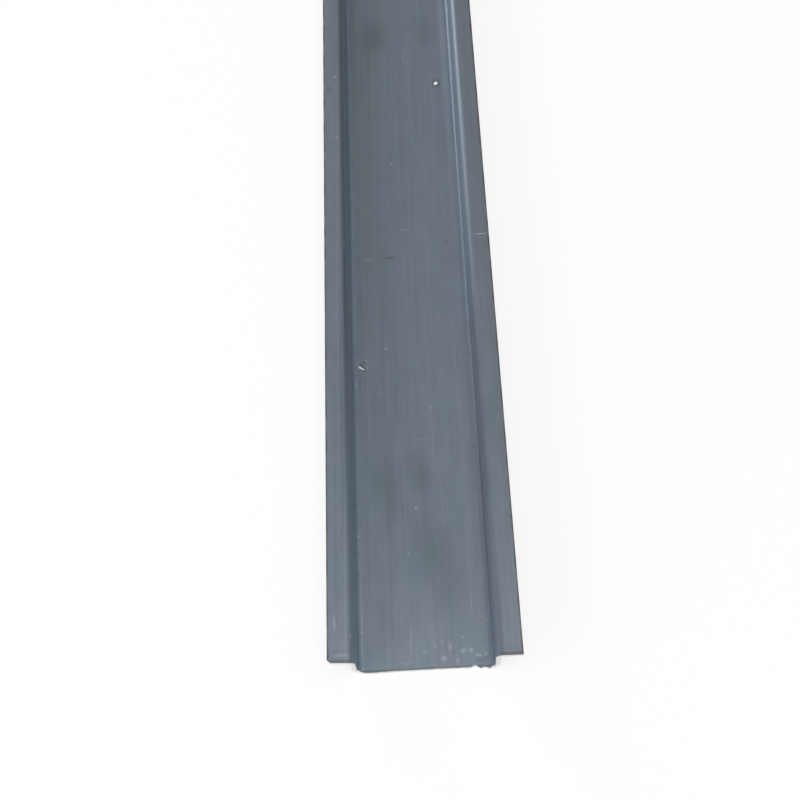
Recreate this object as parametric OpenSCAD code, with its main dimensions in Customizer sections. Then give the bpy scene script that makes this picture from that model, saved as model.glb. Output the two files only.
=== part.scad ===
// Top-hat mounting rail for control-panel devices.
// One steel strip, roll-formed into a flat web, two upright walls and two flanges
// that stand outward. The section is plain over the whole length: no slots or holes.
// The rail lies on the back of its web, with its channel open upward.
// X runs across the rail, Y along it and Z up. The origin is under the middle of the web.

/* [Stock] */
// Length of the piece of stock
rail_length = 1000; // [100:50:2000]

/* [Section] */
// Overall width, from one slit edge to the other
rail_width = 35; // [34:0.5:38]
// Overall height, from the back of the web to the face of the flanges
rail_height = 7.5; // [7:0.5:15]
// Clear width between the two walls
channel_width = 25; // [22:0.5:26]
// Thickness of the strip, the same all the way round the section
strip_thickness = 1; // [0.8:0.1:1.5]

/* [Forming] */
// Radius on the inside of each of the four bends
bend_radius = 0.8; // [0.4:0.1:1]
// Radius that breaks the two slit edges of the strip
slit_edge_radius = 0.2; // [0.1:0.05:0.3]

/* [Hidden] */

strip_colour = [0.42, 0.455, 0.49];
arc_facets = 96;

// The strip turns through two concentric arcs at a bend.
outer_radius = bend_radius + strip_thickness;

// Half widths, measured from the middle of the web.
web_end = channel_width / 2 - bend_radius;
wall_inside = channel_width / 2;
flange_start = channel_width / 2 + outer_radius;
flange_end = rail_width / 2;

// Heights at which the wall is straight.
wall_bottom = outer_radius;
wall_top = rail_height - outer_radius;

// A straight run of strip, from one corner of the section's plane to the other.
module run(from, to) {
    translate(from) square(to - from);
}

// A right-angle bend about the origin, in the first quadrant.
module bend() {
    intersection() {
        difference() {
            circle(r = outer_radius, $fn = arc_facets);
            circle(r = bend_radius, $fn = arc_facets);
        }
        square(outer_radius);
    }
}

// The bend at the foot of the wall, with its centre inside the channel.
module foot_bend() {
    translate([web_end, wall_bottom]) mirror([0, 1]) bend();
}

// The bend at the head of the wall, with its centre outside, under the flange.
module head_bend() {
    translate([flange_start, wall_top]) mirror([1, 0]) bend();
}

// The flange's slit edge, with both of its corners broken by a small radius.
module slit_edge() {
    underside = rail_height - strip_thickness;
    edge_start = flange_end - slit_edge_radius;
    run([edge_start, underside + slit_edge_radius], [flange_end, rail_height - slit_edge_radius]);
    for (height = [underside + slit_edge_radius, rail_height - slit_edge_radius])
        translate([edge_start, height]) circle(r = slit_edge_radius, $fn = arc_facets);
}

// The strip on one side of the middle of the web: half the web, wall and flange.
module half_section() {
    run([0, 0], [web_end, strip_thickness]);
    foot_bend();
    run([wall_inside, wall_bottom], [wall_inside + strip_thickness, wall_top]);
    head_bend();
    run([flange_start, rail_height - strip_thickness], [flange_end - slit_edge_radius, rail_height]);
    slit_edge();
}

module section() {
    half_section();
    mirror([1, 0]) half_section();
}

module rail() {
    color(strip_colour)
        rotate([90, 0, 0])
            linear_extrude(height = rail_length, center = true)
                section();
}

rail();
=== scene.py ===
"""Looks of a plain top-hat mounting rail: one zinc-coated strip on a pale studio floor."""

import math

import bmesh
import bpy
from mathutils import Matrix, Vector, noise


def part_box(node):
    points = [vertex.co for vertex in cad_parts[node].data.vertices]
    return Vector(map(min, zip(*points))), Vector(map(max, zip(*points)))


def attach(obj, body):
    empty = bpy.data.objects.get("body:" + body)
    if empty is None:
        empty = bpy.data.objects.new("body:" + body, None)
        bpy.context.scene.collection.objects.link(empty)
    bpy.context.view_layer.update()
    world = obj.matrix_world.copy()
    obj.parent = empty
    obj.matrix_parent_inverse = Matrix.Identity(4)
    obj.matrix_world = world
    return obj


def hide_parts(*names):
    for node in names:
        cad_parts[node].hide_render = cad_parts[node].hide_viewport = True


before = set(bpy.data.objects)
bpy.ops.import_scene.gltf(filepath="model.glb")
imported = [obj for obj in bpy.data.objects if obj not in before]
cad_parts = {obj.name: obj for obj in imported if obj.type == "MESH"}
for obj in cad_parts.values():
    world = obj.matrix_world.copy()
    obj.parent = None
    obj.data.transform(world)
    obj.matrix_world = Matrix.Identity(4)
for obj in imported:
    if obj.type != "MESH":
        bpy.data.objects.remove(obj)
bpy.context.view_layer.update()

# ---------------------------------------------------------------- sizes of the rail, in mm

MM = 0.001

STRIP_THICKNESS = 1.0
HEAD_RADIUS = 0.8
FOOT_RADIUS = 1.0
CHANNEL_WIDTH = 25.0
SLIT_EDGE_RADIUS = 0.2
SLIT_EDGE_STEPS = 3

low, high = (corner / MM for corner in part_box("rail"))
RAIL_WIDTH = high.x - low.x
RAIL_HEIGHT = high.z - low.z
NEAR_END = low.y
FAR_END = high.y

# The strip from slit edge to slit edge, as (length along its middle, turn in degrees).
# The radii are those of the inside of each bend.
FLANGE = ((RAIL_WIDTH - CHANNEL_WIDTH) / 2 - HEAD_RADIUS - STRIP_THICKNESS, 0)
HEAD_BEND = ((HEAD_RADIUS + STRIP_THICKNESS / 2) * math.pi / 2, -90)
WALL = (RAIL_HEIGHT - HEAD_RADIUS - FOOT_RADIUS - 2 * STRIP_THICKNESS, 0)
FOOT_BEND = ((FOOT_RADIUS + STRIP_THICKNESS / 2) * math.pi / 2, 90)
WEB = (CHANNEL_WIDTH - 2 * FOOT_RADIUS, 0)
STRIP = (FLANGE, HEAD_BEND, WALL, FOOT_BEND, WEB, FOOT_BEND, WALL, HEAD_BEND, FLANGE)
STRIP_WIDTH = sum(length for length, turn in STRIP)

# The ends were cut by hand, so they wander a little inside the CAD box.
CUT_INSET = 0.33
CUT_WANDER = 0.05
NEAR_CUT_SEED = 3.0
FAR_CUT_SEED = 11.0

# The rounded edge of each cut face, and how far past it the two closest rings lie.
CUT_EDGE_RADIUS = 0.12
CUT_EDGE_STEPS = 4
BESIDE_CUT_EDGE = (0.30, 0.06)

# Dents, and burrs with a depth below 0, of the near cut:
# (centre along the strip from its middle, half width, depth).
NEAR_CUT_DENTS = (
    (-22.8, 0.40, 0.50), (-19.6, 1.20, -0.10), (-12.9, 0.90, 0.33), (-9.6, 2.20, -0.14),
    (8.85, 0.40, 0.40), (9.96, 0.35, -0.23), (11.47, 0.45, -0.31), (20.9, 3.50, -0.17),
)


# ---------------------------------------------------------------- marks on the strip, in mm

# Distances along the rail are from the near cut, 0.4 mm inside the box. All marks lie within
# MARKED_LENGTH of the near end, which is a little more than the photo shows.
NEAR_CUT = NEAR_END + 0.4
MARKED_LENGTH = 180.0
WEB_TOP = STRIP_THICKNESS
FLANGE_TOP = RAIL_HEIGHT

# Raised specks on the web: (x, distance from the near cut, half x, half y, turn in degrees, rise).
FLECKS = (
    (8.36, 140.3, 0.43, 0.54, -20, 0.20),
    (-10.95, 64.2, 0.31, 0.23, -30, 0.16), (-10.42, 63.8, 0.40, 0.17, -30, 0.14),
)

# A long scratch on the left wall, with its tilt in degrees.
WALL_SCRATCH_CENTRE = (-12.5, NEAR_CUT + 76.9, 4.0)
WALL_SCRATCH_HALF = (0.6, 3.0, 0.5)
WALL_SCRATCH_TILT = -32
WALL_SCRATCH_STRENGTH = 1.8

# Other marks: (x, distance from the near cut, z, half x, half y, turn in degrees, strength).
# Each reaches this far above and below its z.
MARK_DEPTH = 0.7

SCUFFS_AT_CUT = (
    (3.3, 1.8, WEB_TOP, 0.80, 0.75, 0, 0.38), (6.9, 3.1, WEB_TOP, 0.75, 0.65, 10, 0.36),
    (8.3, 3.1, WEB_TOP, 0.65, 0.60, 0, 0.36), (4.5, 3.9, WEB_TOP, 0.35, 1.10, -4, 0.32),
    (9.7, 2.1, WEB_TOP, 0.80, 0.45, -25, 0.34), (11.0, 2.2, WEB_TOP, 0.40, 0.35, 0, 0.34),
    (-0.2, 3.1, WEB_TOP, 0.60, 0.45, 0, 0.22), (1.7, 4.3, WEB_TOP, 0.25, 1.00, 6, 0.26),
    (3.1, 4.9, WEB_TOP, 0.40, 0.35, 0, 0.28), (5.8, 1.1, WEB_TOP, 0.55, 0.80, 10, 0.28),
    (6.9, 5.6, WEB_TOP, 0.40, 0.45, 0, 0.25), (-3.5, 1.2, WEB_TOP, 1.60, 0.30, 6, 0.15),
    (-15.0, 1.3, FLANGE_TOP, 2.20, 0.35, 0, 0.25),
)
SCRATCHES_ALONG = (
    (-2.5, 6.0, WEB_TOP, 0.25, 5.00, -2, 0.22), (-16.1, 7.3, FLANGE_TOP, 0.40, 2.60, 0, 0.28),
    (-11.7, 81.0, WEB_TOP, 0.25, 2.20, 0, 0.30), (-2.9, 132.3, WEB_TOP, 0.25, 0.90, 0, 0.25),
    (-11.7, 60.2, WEB_TOP, 0.30, 1.20, 0, 0.35), (1.0, 148.9, WEB_TOP, 0.20, 2.60, 0, 0.30),
    (1.8, 147.5, WEB_TOP, 0.18, 2.00, 0, 0.25), (8.9, 12.0, WEB_TOP, 0.18, 3.20, 0, 0.18),
)
SCRATCHES_ACROSS = (
    (15.8, 91.5, FLANGE_TOP, 1.75, 0.20, 0, 0.85), (15.8, 90.6, FLANGE_TOP, 1.20, 0.16, 0, 0.35),
    (-0.7, 98.5, WEB_TOP, 1.00, 0.30, 0, 0.38), (0.7, 98.6, WEB_TOP, 0.45, 0.28, 0, 0.30),
    (-8.7, 91.2, WEB_TOP, 1.10, 0.32, 0, 0.34), (1.4, 46.8, WEB_TOP, 2.60, 0.25, 0, 0.13),
    (-7.1, 57.9, WEB_TOP, 1.10, 0.20, 41, 0.25), (-13.3, 91.6, 7.1, 0.60, 0.28, 0, 0.45),
    (-5.4, 68.4, WEB_TOP, 0.65, 0.38, 0, 0.50), (-11.8, 7.5, WEB_TOP, 0.70, 0.35, -20, 0.40),
)
PALE_SPECKS = (
    (-0.6, 32.0, WEB_TOP, 0.45, 0.45, 0, 0.42), (-12.0, 26.6, 1.3, 0.40, 0.35, 0, 0.75),
    (-2.4, 22.5, WEB_TOP, 0.40, 0.50, 0, 0.25), (-12.5, 15.4, 2.2, 0.45, 0.35, 0, 0.50),
    (8.1, 32.9, WEB_TOP, 0.22, 0.30, 0, 0.40), (12.3, 28.7, 2.0, 0.45, 0.45, 0, 0.40),
    (12.4, 10.9, 2.0, 0.45, 0.35, 0, 0.40), (-13.3, 5.0, 7.1, 0.40, 0.40, 0, 0.40),
    (-14.8, 138.4, FLANGE_TOP, 0.45, 0.50, 0, 0.60), (11.1, 138.7, WEB_TOP, 0.35, 0.40, 0, 0.50),
    (-14.5, 120.3, FLANGE_TOP, 0.55, 0.50, 0, 0.50), (-2.9, 117.2, WEB_TOP, 0.50, 0.60, 0, 0.35),
    (3.1, 53.8, WEB_TOP, 0.40, 0.40, 0, 0.35), (-12.4, 48.5, 3.0, 0.40, 0.60, 0, 0.30),
    (-9.8, 65.8, WEB_TOP, 0.45, 0.25, -20, 0.40),
)
# Dark smudges. The three beside the burr at 63 to 65 mm and the wide one round the droplet at 140
# mm are painted shade.
DARK_MARKS_AND_SHADE = (
    (-4.1, 91.3, WEB_TOP, 1.90, 0.60, 0, 0.70), (8.5, 94.5, WEB_TOP, 0.85, 0.50, 0, 0.60),
    (-10.9, 104.4, WEB_TOP, 0.50, 0.80, 0, 0.55), (5.6, 140.6, WEB_TOP, 0.45, 0.50, 0, 0.45),
    (9.3, 22.4, WEB_TOP, 0.55, 0.60, 0, 0.35), (-16.0, 88.0, FLANGE_TOP, 1.10, 0.35, -44, 0.35),
    (-16.0, 134.5, FLANGE_TOP, 1.00, 1.60, 0, 0.55), (10.2, 1.2, WEB_TOP, 1.60, 0.90, 0, 0.55),
    (-10.5, 64.6, WEB_TOP, 1.00, 0.30, -38, 1.60), (-10.1, 65.4, WEB_TOP, 0.95, 0.27, -27, 1.00),
    (-9.9, 63.3, WEB_TOP, 0.60, 0.30, -20, 0.50), (-14.9, 1.9, FLANGE_TOP, 2.40, 0.22, 0, 0.35),
    (15.5, 1.1, FLANGE_TOP, 2.40, 0.70, 0, 0.30), (8.4, 140.3, WEB_TOP, 1.50, 1.90, 0, 0.95),
)
STAINS = (
    (-6.0, 156.0, WEB_TOP, 5.6, 9.0, -12, 1.00), (6.6, 156.2, WEB_TOP, 3.6, 6.5, 0, 0.60),
    (-5.8, 36.2, WEB_TOP, 4.0, 9.5, 0, 0.85), (0.8, 38.2, WEB_TOP, 3.8, 9.5, 0, 0.90),
    (2.7, 21.5, WEB_TOP, 6.6, 19.0, 14, 0.85), (5.6, 13.0, WEB_TOP, 2.6, 13.0, 0, 0.45),
    (15.0, 47.0, FLANGE_TOP, 2.2, 11.0, 0, 0.35),
)


# ---------------------------------------------------------------- the strip's section

def place(along, offset):
    """The section's point at a distance along the flat strip and an offset from its middle."""
    x, z, heading = -RAIL_WIDTH / 2, RAIL_HEIGHT - STRIP_THICKNESS / 2, 0.0
    for length, turn in STRIP:
        part = max(0.0, min(along, length))
        if turn:
            radius = length / math.radians(turn)
            turned = heading + part / radius
            x += radius * (math.sin(turned) - math.sin(heading))
            z -= radius * (math.cos(turned) - math.cos(heading))
            heading = turned
        else:
            x += part * math.cos(heading)
            z += part * math.sin(heading)
        along -= part
        if along <= 0:
            break
    return x - offset * math.sin(heading), z + offset * math.cos(heading)


def stops_along():
    """Distances along the strip at which the section has a point, close together at the bends."""
    flat_step, bend_step = 0.42, 0.15
    stops, done = [SLIT_EDGE_RADIUS], 0.0
    for length, turn in STRIP:
        start = max(done, SLIT_EDGE_RADIUS)
        done += length
        end = min(done, STRIP_WIDTH - SLIT_EDGE_RADIUS)
        count = max(1, round((end - start) / (bend_step if turn else flat_step)))
        stops += [start + (end - start) * i / count for i in range(1, count + 1)]
    return stops


def slit_edge(side):
    """A slit edge, at side -1 or 1 of the strip, as (along, offset, out along, out offset)."""
    centre = SLIT_EDGE_RADIUS if side < 0 else STRIP_WIDTH - SLIT_EDGE_RADIUS
    reach = STRIP_THICKNESS / 2 - SLIT_EDGE_RADIUS
    points = []
    steps = range(1, SLIT_EDGE_STEPS + 1)
    for corner in (1, -1):
        for i in steps if corner > 0 else reversed(steps):
            angle = math.radians(90 * i / SLIT_EDGE_STEPS)
            out_along, out_offset = side * math.sin(angle), corner * math.cos(angle)
            points.append((centre + SLIT_EDGE_RADIUS * out_along,
                           corner * reach + SLIT_EDGE_RADIUS * out_offset,
                           out_along, out_offset))
    return points


def outline(stops):
    """The section's closed outline: upper side, right slit edge, lower side, left slit edge."""
    half = STRIP_THICKNESS / 2
    upper = [(along, half, 0, 1) for along in stops]
    lower = [(along, -half, 0, -1) for along in reversed(stops)]
    return upper + slit_edge(1) + lower + slit_edge(-1)[::-1]


# ---------------------------------------------------------------- the cut ends

def bump_at(value, centre, width):
    """A smooth bump of height 1 round a place."""
    return math.exp(-((value - centre) / width) ** 2)


def cut_wander(along, offset, seed):
    """How far a saw cut lies inside the end of the box, in mm, at a point of the section."""
    def wave(length, skew, seed):
        return noise.noise(Vector((along / length, offset * skew, seed)))

    return CUT_INSET + CUT_WANDER * (wave(7.0, 0.4, seed) + wave(0.9, 0.8, seed + 5))


def near_face(along, offset):
    """The y of the near cut's face, with its dents and burrs."""
    depth = cut_wander(along, offset, NEAR_CUT_SEED)
    for centre, half_width, deeper in NEAR_CUT_DENTS:
        depth += deeper * bump_at(along, STRIP_WIDTH / 2 + centre, half_width)
    return NEAR_END + max(0.0, depth)


def far_face(along, offset):
    """The y of the far cut's face, which has only the saw's wander."""
    return FAR_END - max(0.0, cut_wander(along, offset, FAR_CUT_SEED))


def rounded_edge():
    """(distance in from the cut, distance in from the surface) round the edge of a cut face."""
    radius = CUT_EDGE_RADIUS
    angles = [math.pi / 2 * i / CUT_EDGE_STEPS for i in range(CUT_EDGE_STEPS + 1)]
    beside = [(radius + further, 0.0) for further in BESIDE_CUT_EDGE]
    return beside + [(radius * (1 - math.sin(angle)), radius * (1 - math.cos(angle)))
                     for angle in angles]


def stations():
    """Distances from the near end of the rings between the two cuts, close together at each end."""
    first, step, growth, longest = 1.2, 0.8, 1.12, 9.0
    half = (FAR_END - NEAR_END) / 2
    distances = [first]
    while distances[-1] + step < half:
        distances.append(distances[-1] + step)
        step = min(step * growth, longest)
    near = sorted(distances + [half, MARKED_LENGTH])
    return near + [2 * half - distance for distance in reversed(distances)]


# ---------------------------------------------------------------- the baked image

# In an exported model the colours are baked into a square image. Left to itself, the metre of
# rail would get a pixel per mm, so its faces are laid out here: the cut ends fill the lowest
# tenth, and above them the marked part of the rail has the left half and the rest the right.
# The upper side gets twice the width of the lower one. These are shares of the image's side.
IMAGE_MAP = "OFBake"
MARKED_LEFT, REST_LEFT, SIDES_WIDTH = 0.0, 0.505, 0.495
SIDES_BOTTOM, SIDES_HEIGHT = 0.12, 0.88
NEAR_CUT_LEFT, FAR_CUT_LEFT, CUT_FACE_WIDTH, CUT_FACE_HEIGHT = 0.005, 0.505, 0.49, 0.105

# These are shares of the width that the sides get.
UPPER_SHARE, LOWER_SHARE, LOWER_RIGHT = 0.64, 0.31, 0.98


def columns(stops):
    """Where the outline's points, and its first one again, lie across their half, from 0 to 1."""
    def spread(start, end, count):
        return [start + (end - start) * (i + 0.5) / count for i in range(count)]

    edge_points = len(slit_edge(1))
    upper = [UPPER_SHARE * along / STRIP_WIDTH for along in stops]
    lower = [LOWER_RIGHT - LOWER_SHARE * along / STRIP_WIDTH for along in reversed(stops)]
    closing = 1.0
    return (upper + spread(upper[-1], lower[0], edge_points)
            + lower + spread(lower[-1], closing, edge_points) + [closing])


def map_face(mesh, face, places):
    """Gives a face's corners their places in the image."""
    layer = mesh.loops.layers.uv[IMAGE_MAP]
    for loop, place_in_image in zip(face.loops, places):
        loop[layer].uv = place_in_image


def map_side(mesh, face, across, marked):
    """Maps a quad of the strip's sides, with its corners at across, into one half of the image."""
    split = NEAR_END + MARKED_LENGTH
    start, end = (NEAR_END, split) if marked else (split, FAR_END)
    left = MARKED_LEFT if marked else REST_LEFT
    places = []
    for u, loop in zip(across, face.loops):
        from_start = loop.vert.co.y / MM - start
        places.append((left + SIDES_WIDTH * u,
                       SIDES_BOTTOM + SIDES_HEIGHT * from_start / (end - start)))
    map_face(mesh, face, places)


def map_cut(mesh, face, near):
    """Maps a face of a cut end as it is seen from in front."""
    left = NEAR_CUT_LEFT if near else FAR_CUT_LEFT
    places = []
    for loop in face.loops:
        across = loop.vert.co.x / MM / RAIL_WIDTH + 0.5
        places.append((left + CUT_FACE_WIDTH * across,
                       CUT_FACE_HEIGHT * loop.vert.co.z / MM / RAIL_HEIGHT))
    map_face(mesh, face, places)


# ---------------------------------------------------------------- meshes

def add_ring(mesh, points, drop, y_of):
    """One ring of the outline, its surface lowered by drop, at y_of(along, offset)."""
    ring = []
    for along, offset, out_along, out_offset in points:
        x, z = place(along - drop * out_along, offset - drop * out_offset)
        ring.append(mesh.verts.new((x * MM, y_of(along, offset) * MM, z * MM)))
    return ring


def join_rings(mesh, first, second, across, marked, bare=()):
    """Quads between two rings, the second at larger y. Those numbered in bare are bare steel."""
    count = len(first)
    for i in range(count):
        j = (i + 1) % count
        face = mesh.faces.new((first[i], first[j], second[j], second[i]))
        face.smooth = True
        face.material_index = 1 if i in bare else 0
        map_side(mesh, face, (across[i], across[i + 1], across[i + 1], across[i]), marked)


def close_end(mesh, ring, stops, y_of, near, rows=3):
    """Fills a cut end with a grid across the strip, so that the cut face can be uneven."""
    count = len(stops)
    edge_points = (len(ring) - 2 * count) // 2
    upper = ring[:count]
    lower = ring[count + edge_points:2 * count + edge_points][::-1]
    reach = STRIP_THICKNESS / 2
    inner = []
    for row in range(1, rows + 1):
        offset = reach - 2 * reach * row / (rows + 1)
        points = [(*place(along, offset), y_of(along, offset)) for along in stops]
        inner.append([mesh.verts.new((x * MM, y * MM, z * MM)) for x, z, y in points])
    lines = [upper, *inner, lower]
    made = []
    for above, below in zip(lines, lines[1:]):
        made += [(above[i], above[i + 1], below[i + 1], below[i]) for i in range(count - 1)]
    right_edge = ring[count:count + edge_points]
    left_edge = ring[2 * count + edge_points:]
    made.append([line[-1] for line in reversed(lines)] + right_edge)
    made.append([line[0] for line in lines] + left_edge)
    for corners in made:
        face = mesh.faces.new(corners if near else corners[::-1])
        face.material_index = 1
        map_cut(mesh, face, near)


def add_rings(mesh, points):
    """All the rings of the strip, from its near cut to its far cut."""
    edge = rounded_edge()
    rings = []
    for inset, drop in reversed(edge):
        rings.append(add_ring(mesh, points, drop, lambda *at: near_face(*at) + inset))
    for distance in stations():
        rings.append(add_ring(mesh, points, 0.0, lambda *at: NEAR_END + distance))
    for inset, drop in edge:
        rings.append(add_ring(mesh, points, drop, lambda *at: far_face(*at) - inset))
    return rings


def build_strip():
    """The rolled strip as one closed mesh. The edges of its cut ends are bare on the lower side."""
    stops = stops_along()
    points = outline(stops)
    mesh = bmesh.new()
    mesh.loops.layers.uv.new(IMAGE_MAP)
    rings = add_rings(mesh, points)
    across = columns(stops)
    lower_side = range(len(stops) + SLIT_EDGE_STEPS, len(points) - SLIT_EDGE_STEPS)
    last = len(rings) - 2
    marked_end = len(rounded_edge()) + sum(distance < MARKED_LENGTH for distance in stations())
    for number, (first, second) in enumerate(zip(rings, rings[1:])):
        at_cut = min(number, last - number) < CUT_EDGE_STEPS
        join_rings(mesh, first, second, across, number < marked_end, lower_side if at_cut else ())
    close_end(mesh, rings[0], stops, near_face, near=True)
    close_end(mesh, rings[-1], stops, far_face, near=False)
    bmesh.ops.recalc_face_normals(mesh, faces=mesh.faces)
    return mesh


def add_ball(mesh, shape, around=20, rows=12):
    """Adds a closed ball of radius 1, shaped by a matrix, and returns its corners."""
    def corner(row, step):
        down, turn = math.pi * row / rows, math.tau * step / around
        level = math.sin(down)
        at = Vector((level * math.sin(turn), level * math.cos(turn), math.cos(down)))
        return mesh.verts.new(shape @ at)

    top, bottom = corner(0, 0), corner(rows, 0)
    rings = [[corner(row, step) for step in range(around)] for row in range(1, rows)]
    for i in range(around):
        j = (i + 1) % around
        mesh.faces.new((top, rings[0][j], rings[0][i]))
        for above, below in zip(rings, rings[1:]):
            mesh.faces.new((above[j], below[j], below[i], above[i]))
        mesh.faces.new((bottom, rings[-1][i], rings[-1][j]))
    return [top, bottom, *(vertex for ring in rings for vertex in ring)]


def build_flecks():
    """The raised specks on the web: a dried droplet, and a burr made of two lumps."""
    lumpiness, lumps_per_mm = 0.22, 1.7
    mesh = bmesh.new()
    for across, along, half_across, half_along, turn, rise in FLECKS:
        centre = Vector((across, NEAR_CUT + along, WEB_TOP)) * MM
        size = Matrix.Diagonal((half_across * MM, half_along * MM, rise * MM, 1))
        turned = Matrix.Rotation(math.radians(turn), 4, "Z")
        for corner in add_ball(mesh, Matrix.Translation(centre) @ turned @ size):
            away = corner.co - centre
            lumpy = 1 + lumpiness * noise.noise(corner.co / MM * lumps_per_mm)
            corner.co = centre + Vector((away.x * lumpy, away.y * lumpy, away.z))
    for face in mesh.faces:
        face.smooth = True
    return mesh


def add_object(name, mesh, *materials):
    data = bpy.data.meshes.new(name)
    mesh.to_mesh(data)
    mesh.free()
    for material in materials:
        data.materials.append(material)
    obj = bpy.data.objects.new(name, data)
    bpy.context.scene.collection.objects.link(obj)
    return obj


# ---------------------------------------------------------------- materials

# Colours as the shaders take them, in linear red, green and blue.
GREENISH_ZINC = (0.167, 0.208, 0.241)
PURPLISH_ZINC = (0.181, 0.204, 0.247)
# Tints of the painted shade in the left bends and of the painted highlight in the right bends.
LEFT_BENDS_SHADE_TINT = (0.161, 0.208, 0.245)
RIGHT_BENDS_HIGHLIGHT_TINT = (0.169, 0.204, 0.261)
SCRAPED_ZINC = (0.52, 0.56, 0.60)
# Dark of the smudges and of the painted shade beside the burr and round the droplet.
SMUDGE_AND_SHADE_DARK = (0.075, 0.088, 0.100)
PALE_SPECKLE = (0.42, 0.47, 0.50)
DARK_SPECKLE = (0.080, 0.095, 0.110)
BROWNISH_FILM = (0.176, 0.176, 0.186)
EDGE_GRIME = (0.042, 0.035, 0.033)
# Dark of the painted shade along the near cut.
RIM_SHADE = (0.066, 0.060, 0.066)
FLECK_WHITE = (0.76, 0.80, 0.81)
FLECK_GREY = (0.55, 0.59, 0.61)
CUT_STEEL = (0.74, 0.74, 0.75)
TARNISH = (0.40, 0.35, 0.31)


class Nodes:
    """Short-hand for building one node tree. Places and lengths are in mm, in the rail's frame."""

    def __init__(self, tree):
        self.tree = tree
        self.shader = tree.nodes["Principled BSDF"]
        place_at = self.add("TexCoord").outputs["Object"]
        self.mm = self.vector("SCALE", place_at, scale=1 / MM).outputs[0]
        parts = self.add("SeparateXYZ")
        self.feed(parts.inputs[0], self.mm)
        self.x, self.y, self.z = parts.outputs
        self.wobbly = None

    def add(self, kind, **settings):
        node = self.tree.nodes.new("ShaderNode" + kind)
        for name, value in settings.items():
            setattr(node, name, value)
        return node

    def feed(self, socket, value):
        """Links a socket to another node's output, or sets it to a plain value."""
        if isinstance(value, bpy.types.NodeSocket):
            self.tree.links.new(value, socket)
        else:
            socket.default_value = value

    def calc(self, operation, *values):
        node = self.add("Math", operation=operation)
        for socket, value in zip(node.inputs, values):
            self.feed(socket, value)
        return node.outputs[0]

    def vector(self, operation, *values, scale=None):
        node = self.add("VectorMath", operation=operation)
        for socket, value in zip(node.inputs, values):
            self.feed(socket, value)
        if scale is not None:
            self.feed(node.inputs["Scale"], scale)
        return node

    def wobble(self, cells, amount):
        """Lets the outlines of the spots wander by about so many mm."""
        texture = self.add("TexNoise")
        self.feed(texture.inputs["Vector"], self.mm)
        self.feed(texture.inputs["Scale"], cells)
        away = self.vector("SUBTRACT", texture.outputs["Color"], (0.5, 0.5, 0.5)).outputs[0]
        self.wobbly = self.vector("MULTIPLY_ADD", away, (amount,) * 3, self.mm).outputs[0]

    def mapped(self, kind, location, rotation, scale, point=None):
        """The point on the rail, in mm, moved, turned and scaled."""
        node = self.add("Mapping", vector_type=kind)
        self.feed(node.inputs["Vector"], point or self.mm)
        self.feed(node.inputs["Location"], location)
        self.feed(node.inputs["Rotation"], rotation)
        self.feed(node.inputs["Scale"], scale)
        return node.outputs[0]

    def noise(self, cells, detail=2.0, shift=0.0):
        """Smooth noise round 0.5, with so many grains per mm along x, y and z."""
        place_at = self.mapped("POINT", (shift,) * 3, (0, 0, 0), cells)
        texture = self.add("TexNoise")
        self.feed(texture.inputs["Vector"], place_at)
        self.feed(texture.inputs["Scale"], 1.0)
        self.feed(texture.inputs["Detail"], detail)
        return texture.outputs["Fac"]

    def ramp(self, value, low, high, start=0.0, end=1.0, smooth=True):
        """Goes from start to end as the value goes from low to high, and stays there."""
        node = self.add("MapRange", interpolation_type="SMOOTHSTEP" if smooth else "LINEAR")
        for name, given in zip(("Value", "From Min", "From Max", "To Min", "To Max"),
                               (value, low, high, start, end)):
            self.feed(node.inputs[name], given)
        return node.outputs[0]

    def band(self, value, centre, half):
        """1 where the value is at the centre, fading to 0 at half a width from it."""
        away = self.calc("ABSOLUTE", self.calc("SUBTRACT", value, centre))
        return self.ramp(away, half, 0.0)

    def vary(self, start, *parts):
        """start plus each (value, amount), where a value of 0.5 adds nothing."""
        total = start
        for value, amount in parts:
            shifted = self.calc("SUBTRACT", value, 0.5)
            total = self.calc("MULTIPLY_ADD", shifted, amount, total)
        return total

    def mix(self, amount, colour, other):
        node = self.add("Mix", data_type="RGBA")
        factor, first, second = node.inputs[0], node.inputs[6], node.inputs[7]
        self.feed(factor, amount)
        for socket, given in ((first, colour), (second, other)):
            self.feed(socket, (*given, 1) if isinstance(given, tuple) else given)
        return node.outputs[2]

    def shade(self, colour, brightness):
        return self.vector("SCALE", colour, scale=brightness).outputs[0]

    def spot(self, centre, half, turn=0.0, softness=0.7, tilt=0.0):
        """1 inside a soft-edged ellipsoid, tilted about x and turned about z, and 0 outside."""
        angles = (math.radians(tilt), 0, math.radians(turn))
        inside = self.mapped("TEXTURE", centre, angles, half, self.wobbly)
        distance = self.vector("LENGTH", inside).outputs["Value"]
        return self.ramp(distance, 1.0, 1.0 - softness)

    def spots(self, marks, softness=0.7):
        """The strongest of many marks, each as in the tables of marks."""
        strongest = 0.0
        for across, along, height, half_across, half_along, turn, strength in marks:
            centre = (across, NEAR_CUT + along, height)
            mark = self.spot(centre, (half_across, half_along, MARK_DEPTH), turn, softness)
            strongest = self.calc("MAXIMUM", self.calc("MULTIPLY", mark, strength), strongest)
        return strongest

    def bump(self, height, rise):
        """Feeds the shader's normal from a height of 0 to 1 that stands for a rise in mm."""
        node = self.add("Bump")
        self.feed(node.inputs["Strength"], 1.0)
        self.feed(node.inputs["Distance"], rise * MM)
        self.feed(node.inputs["Height"], height)
        self.feed(self.shader.inputs["Normal"], node.outputs[0])


def material_nodes(name):
    material = bpy.data.materials.new(name)
    material.use_nodes = True
    return material, Nodes(material.node_tree)


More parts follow.
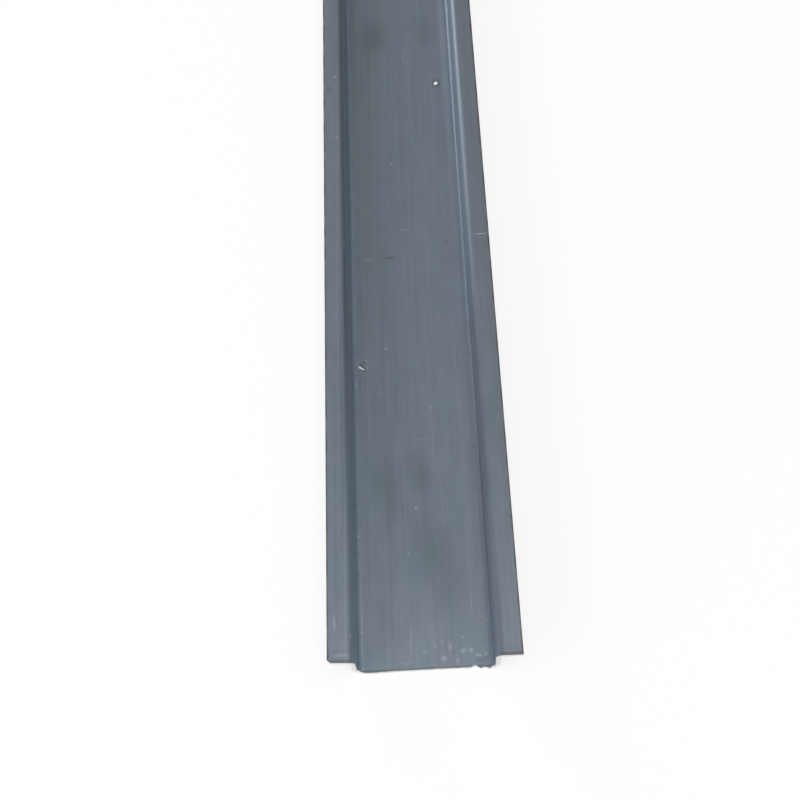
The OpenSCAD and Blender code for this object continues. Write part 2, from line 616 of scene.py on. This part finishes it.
def zinc_tint(nodes):
    """The zinc's blue-grey, drifting towards green and towards purple in cloudy patches, tinted in
    the bends to colour their painted shade on the left and painted highlight on the right.
    """
    cloud = nodes.noise((0.14, 0.07, 0.14), 3, 26)
    small = nodes.noise((0.55, 0.20, 0.55), 2, 60)
    cloudy = nodes.ramp(nodes.calc("SUBTRACT", nodes.y, NEAR_CUT), 40, 90, 4.2, 2.2)
    drift = nodes.vary(0.5, (cloud, cloudy), (small, 1.2))
    tint = nodes.mix(nodes.ramp(drift, 0.0, 1.0, smooth=False), GREENISH_ZINC, PURPLISH_ZINC)
    # The bends' tints colour the painted shade in the left bends and the painted highlight in the
    # right ones.
    left_bends = nodes.band(nodes.x, -CHANNEL_WIDTH / 2 - 0.1, 1.8)
    right_bends = nodes.band(nodes.x, CHANNEL_WIDTH / 2 - 0.1, 2.4)
    tint = nodes.mix(nodes.calc("MULTIPLY", left_bends, 0.8), tint, LEFT_BENDS_SHADE_TINT)
    return nodes.mix(nodes.calc("MULTIPLY", right_bends, 0.8), tint, RIGHT_BENDS_HIGHLIGHT_TINT)


def bend_light_and_shade(nodes):
    """Painted light and shade in the zinc's colour, which differs across and along the bends."""
    bend = CHANNEL_WIDTH / 2
    from_cut = nodes.calc("SUBTRACT", nodes.y, NEAR_CUT)
    wall_height = nodes.band(nodes.z, 3.6, 4.0)

    def across(x, half):
        return nodes.band(nodes.x, x, half)

    def along(start, end, gain_at_start, gain_at_end):
        return nodes.ramp(from_cut, start, end, gain_at_start, gain_at_end)

    darkening, clearing = along(5, 55, -0.12, -0.30), along(62, 105, -0.30, 0.0)
    # (where it is 1, how much it adds there), all painted light and shade: lighter walls, the left
    # bends from the flange inwards, the right side from the web outwards with a painted highlight
    # in the foot bend and shade over the head bend's highlight, and a broad darker patch near the
    # cut.
    places = (
        (nodes.calc("MULTIPLY", across(-bend, 1.05), wall_height), along(15, 110, 1.05, 0.45)),
        (nodes.calc("MULTIPLY", across(bend, 1.05), wall_height), along(30, 110, 0.04, 0.46)),
        (across(-bend - 1.80, 0.55), nodes.calc("MULTIPLY", nodes.band(from_cut, 50, 55), -0.22)),
        (across(-bend - 1.10, 0.50), along(5, 50, 0.26, 0.0)),
        (across(-bend - 0.72, 1.00), along(5, 85, 0.0, -0.42)),
        (across(-bend - 0.25, 0.40), 0.22),
        (across(-bend + 0.25, 0.50), 0.07),
        (across(-bend + 0.75, 0.70), along(5, 45, 0.11, 0.0)),
        (across(-bend + 1.10, 2.20), along(100, 165, 0.0, -0.15)),
        (across(bend - 1.70, 1.80), along(60, 170, 0.0, 0.26)),
        (across(bend - 0.70, 0.50), -0.07),
        (across(bend + 0.60, 1.20), nodes.calc("MAXIMUM", darkening, clearing)),
        (nodes.ramp(nodes.x, bend - 0.2, bend + 1.5), -0.10),
        (nodes.spot((7.5, NEAR_CUT + 15, WEB_TOP), (11, 50, 4), 0, 1.0), -0.09),
    )
    brightness = 0.99
    for there, gain in places:
        brightness = nodes.calc("MULTIPLY_ADD", there, gain, brightness)
    return brightness


def add_slit_edge_grime(nodes, colour):
    """A brownish film towards each slit edge, and patchy dark grime along the edge itself."""
    film_width, grime_width = 1.6, 0.55
    slit_edge = RAIL_WIDTH / 2
    across = nodes.calc("ABSOLUTE", nodes.x)
    patchy = nodes.ramp(nodes.noise((0.0, 0.24, 0.0), 3, 90), 0.38, 0.62, 0.22, 1.0)
    at_edge = nodes.ramp(across, slit_edge - grime_width, slit_edge - 0.05)
    thicker = nodes.ramp(nodes.y, NEAR_CUT, NEAR_CUT + 160, 0.65, 1.0)
    grimy = nodes.calc("MULTIPLY", patchy, thicker)
    film = nodes.ramp(across, slit_edge - film_width, slit_edge, 0.0, 0.35)
    colour = nodes.mix(film, colour, BROWNISH_FILM)
    return nodes.mix(nodes.calc("MULTIPLY", at_edge, grimy), colour, EDGE_GRIME)


def add_rim_shade(nodes, colour):
    """Painted shade: a dark line along the near cut, on the upper side, wider on the flanges than
    on the web.
    """
    upper_side = nodes.calc("ADD", nodes.band(nodes.z, WEB_TOP, 0.6),
                            nodes.band(nodes.z, FLANGE_TOP, 0.6))
    width = nodes.ramp(nodes.z, 6, 7, 0.35, 0.65)
    rim = nodes.ramp(nodes.y, nodes.calc("ADD", width, NEAR_CUT), NEAR_CUT + 0.05)
    return nodes.mix(nodes.calc("MULTIPLY", nodes.calc("MULTIPLY", rim, upper_side), 0.62),
                     colour, RIM_SHADE)


def add_foot_speckle(nodes, colour):
    """Fine pale and dark specks in the two foot bends."""
    speckle = nodes.noise((0.9, 0.7, 0.9), 1, 120)
    in_foot = nodes.band(nodes.calc("ABSOLUTE", nodes.x), CHANNEL_WIDTH / 2 - 0.7, 1.3)
    pale = nodes.calc("MULTIPLY", nodes.ramp(speckle, 0.66, 0.78), in_foot)
    dark = nodes.calc("MULTIPLY", nodes.ramp(speckle, 0.36, 0.26), in_foot)
    colour = nodes.mix(nodes.calc("MULTIPLY", pale, 0.22), colour, PALE_SPECKLE)
    return nodes.mix(nodes.calc("MULTIPLY", dark, 0.35), colour, DARK_SPECKLE)


def scrapes(nodes):
    """How far the zinc is scraped: 0 where it isn't."""
    flat = nodes.spots(SCUFFS_AT_CUT + SCRATCHES_ALONG + SCRATCHES_ACROSS + PALE_SPECKS)
    on_wall = nodes.spot(WALL_SCRATCH_CENTRE, WALL_SCRATCH_HALF, tilt=WALL_SCRATCH_TILT)
    return nodes.calc("MAXIMUM", flat, nodes.calc("MULTIPLY", on_wall, WALL_SCRATCH_STRENGTH))


def zinc_material():
    """Dull blue-passivated zinc with rolling lines, stains, scuffs and grime along its slit edges,
    and painted light and shade in the bends, along the near cut, beside the burr and round the
    droplet.
    """
    material, nodes = material_nodes("zinc")
    nodes.wobble(0.7, 0.5)
    hairlines = nodes.noise((3.8, 0.035, 3.8), 3)
    rolling = nodes.noise((1.1, 0.010, 1.1), 2, 40)
    dashes = nodes.ramp(nodes.noise((3.2, 0.16, 3.2), 1, 80), 0.64, 0.80)
    grain = nodes.noise((4.0, 4.0, 4.0), 2, 10)
    mottle = nodes.noise((0.30, 0.16, 0.30), 3, 30)

    brightness = nodes.vary(1.0, (hairlines, 0.22), (rolling, 0.20), (grain, 0.15), (mottle, 0.09))
    brightness = nodes.calc("MULTIPLY_ADD", dashes, 0.10, brightness)
    stained = nodes.calc("MULTIPLY_ADD", nodes.spots(STAINS, 0.9), -0.19, 1.0)
    colour = nodes.shade(zinc_tint(nodes), nodes.calc("MULTIPLY", brightness, stained))
    # Painted light and shade in the bends.
    colour = nodes.shade(colour, bend_light_and_shade(nodes))
    colour = add_slit_edge_grime(nodes, colour)
    # Painted shade along the near cut.
    colour = add_rim_shade(nodes, colour)
    colour = add_foot_speckle(nodes, colour)
    # Dark smudges, with painted shade beside the burr and round the droplet.
    smudged_and_shaded = nodes.calc("MULTIPLY", nodes.spots(DARK_MARKS_AND_SHADE), 0.55)
    colour = nodes.mix(smudged_and_shaded, colour, SMUDGE_AND_SHADE_DARK)
    scraped = scrapes(nodes)
    colour = nodes.mix(nodes.calc("MULTIPLY", scraped, 0.55), colour, SCRAPED_ZINC)
    nodes.feed(nodes.shader.inputs["Base Color"], colour)

    roughness = nodes.vary(0.38, (mottle, 0.12), (hairlines, 0.12), (grain, 0.10))
    duller = nodes.calc("MAXIMUM", scraped, nodes.band(nodes.x, CHANNEL_WIDTH / 2, 2.2))
    roughness = nodes.calc("MULTIPLY_ADD", duller, 0.06, roughness)
    nodes.feed(nodes.shader.inputs["Roughness"], roughness)
    nodes.feed(nodes.shader.inputs["Metallic"], 0.5)
    nodes.bump(nodes.vary(0.5, (hairlines, 1.0), (rolling, 0.8), (grain, 0.5)), 0.004)
    return material


def fleck_material():
    """Chalky white of the specks, greyer in places."""
    material, nodes = material_nodes("fleck_white")
    patches = nodes.noise((2.5, 2.5, 2.5), 2)
    colour = nodes.mix(nodes.ramp(patches, 0.40, 0.75), FLECK_WHITE, FLECK_GREY)
    nodes.feed(nodes.shader.inputs["Base Color"], colour)
    nodes.feed(nodes.shader.inputs["Roughness"], nodes.vary(0.35, (patches, 0.3)))
    nodes.bump(patches, 0.02)
    return material


def cut_material():
    """Bare steel of the cut ends: pale, with saw lines and a brown tarnish in places."""
    material, nodes = material_nodes("cut_steel")
    saw_lines = nodes.noise((0.8, 2.0, 9.0), 3, 15)
    tarnish = nodes.ramp(nodes.noise((0.7, 0.7, 0.7), 3, 50), 0.48, 0.70)
    steel = nodes.shade(CUT_STEEL, nodes.vary(1.0, (saw_lines, 0.4)))
    colour = nodes.mix(nodes.calc("MULTIPLY", tarnish, 0.3), steel, TARNISH)
    nodes.feed(nodes.shader.inputs["Base Color"], colour)
    nodes.feed(nodes.shader.inputs["Roughness"], nodes.vary(0.42, (saw_lines, 0.3)))
    nodes.feed(nodes.shader.inputs["Metallic"], 0.4)
    nodes.bump(saw_lines, 0.02)
    return material


# ---------------------------------------------------------------- floor, light and camera

# The floor lies just under the rail, so that no two faces coincide.
FLOOR_GAP = 0.02 * MM
FLOOR_HALF = 20.0
FLOOR_COLOUR = (0.86, 0.86, 0.86, 1)
FLOOR_WHITE_SHARE = 0.8

# Soft boxes: (name, degrees left of straight ahead, degrees up, width, height, radiance, colour).
# A radiance of 1 is as bright as a white world. Sizes and places are in metres.
WORLD_STRENGTH = 0.38
LAMPS = (
    ("window", 33, 15.5, 0.83, 0.88, 7.8, (0.94, 0.97, 1.0)),
    ("side_fill", 117, 18, 2.4, 1.4, 3.7, (1, 1, 1)),
    ("overhead", -149, 75.6, 1.77, 1.77, 3.9, (1, 1, 1)),
)
LAMP_DISTANCE = 2.5
LIT_PLACE = Vector((0, -0.38, 0))

# The camera's place, and where it looks: degrees to the left, below level, and rolled.
CAMERA_PLACE = (0.0063, NEAR_END * MM - 0.0685, 0.2266)
CAMERA_TURN, CAMERA_DOWN, CAMERA_ROLL = 4.22, 60.96, -7.03
CAMERA_SENSOR, CAMERA_LENS = 36.0, 57.2


def floor_material():
    """Pale and dull. Seen directly or mirrored it is nearly white, and keeps a faint shadow."""
    material, nodes = material_nodes("floor_white")
    shader = nodes.shader
    nodes.feed(shader.inputs["Base Color"], FLOOR_COLOUR)
    nodes.feed(shader.inputs["Roughness"], 0.8)
    seen = nodes.add("LightPath").outputs
    shown = nodes.calc("MAXIMUM", seen["Is Camera Ray"],
                       nodes.calc("MAXIMUM", seen["Is Glossy Ray"], seen["Is Transmission Ray"]))
    white = nodes.add("Emission")
    nodes.feed(white.inputs["Strength"], 1.0)
    blend = nodes.add("MixShader")
    nodes.feed(blend.inputs[0], nodes.calc("MULTIPLY", shown, FLOOR_WHITE_SHARE))
    nodes.feed(blend.inputs[1], shader.outputs[0])
    nodes.feed(blend.inputs[2], white.outputs[0])
    output = nodes.tree.nodes["Material Output"]
    nodes.feed(output.inputs["Surface"], blend.outputs[0])
    return material


def add_floor():
    mesh = bmesh.new()
    bmesh.ops.create_grid(mesh, x_segments=1, y_segments=1, size=FLOOR_HALF)
    floor = add_object("floor", mesh, floor_material())
    floor.location.z = -FLOOR_GAP


def add_lamp(name, turn, rise, width, height, radiance, colour):
    data = bpy.data.lights.new(name, "AREA")
    data.shape = "RECTANGLE"
    data.size, data.size_y = width, height
    data.energy = radiance * math.pi * width * height
    data.color = colour
    lamp = bpy.data.objects.new(name, data)
    turn, rise = math.radians(turn), math.radians(rise)
    level = math.cos(rise)
    direction = Vector((-math.sin(turn) * level, math.cos(turn) * level, math.sin(rise)))
    lamp.location = LIT_PLACE + LAMP_DISTANCE * direction
    lamp.rotation_euler = (-direction).to_track_quat("-Z", "Y").to_euler()
    bpy.context.scene.collection.objects.link(lamp)


def add_world():
    world = bpy.data.worlds.new("studio")
    world.use_nodes = True
    bpy.context.scene.world = world
    background = world.node_tree.nodes["Background"]
    background.inputs["Color"].default_value = (1, 1, 1, 1)
    background.inputs["Strength"].default_value = WORLD_STRENGTH


def add_camera():
    """The photo's view: from above the near end, looking forward and down along the rail."""
    data = bpy.data.cameras.new("camera")
    data.sensor_width = CAMERA_SENSOR
    data.lens = CAMERA_LENS
    data.clip_start = 0.01
    camera = bpy.data.objects.new("camera", data)
    turn = Matrix.Rotation(math.radians(CAMERA_TURN), 4, "Z")
    tilt = Matrix.Rotation(math.radians(90 - CAMERA_DOWN), 4, "X")
    roll = Matrix.Rotation(math.radians(CAMERA_ROLL), 4, "Z")
    camera.matrix_world = Matrix.Translation(CAMERA_PLACE) @ turn @ tilt @ roll
    bpy.context.scene.collection.objects.link(camera)
    bpy.context.scene.camera = camera


# ---------------------------------------------------------------- the scene

strip = add_object("rail_strip", build_strip(), zinc_material(), cut_material())
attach(strip, "root")
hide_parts("rail")

flecks = add_object("flecks", build_flecks(), fleck_material())
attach(flecks, "root")

add_floor()
add_world()
for lamp in LAMPS:
    add_lamp(*lamp)
add_camera()
bpy.context.scene.view_settings.view_transform = "Standard"
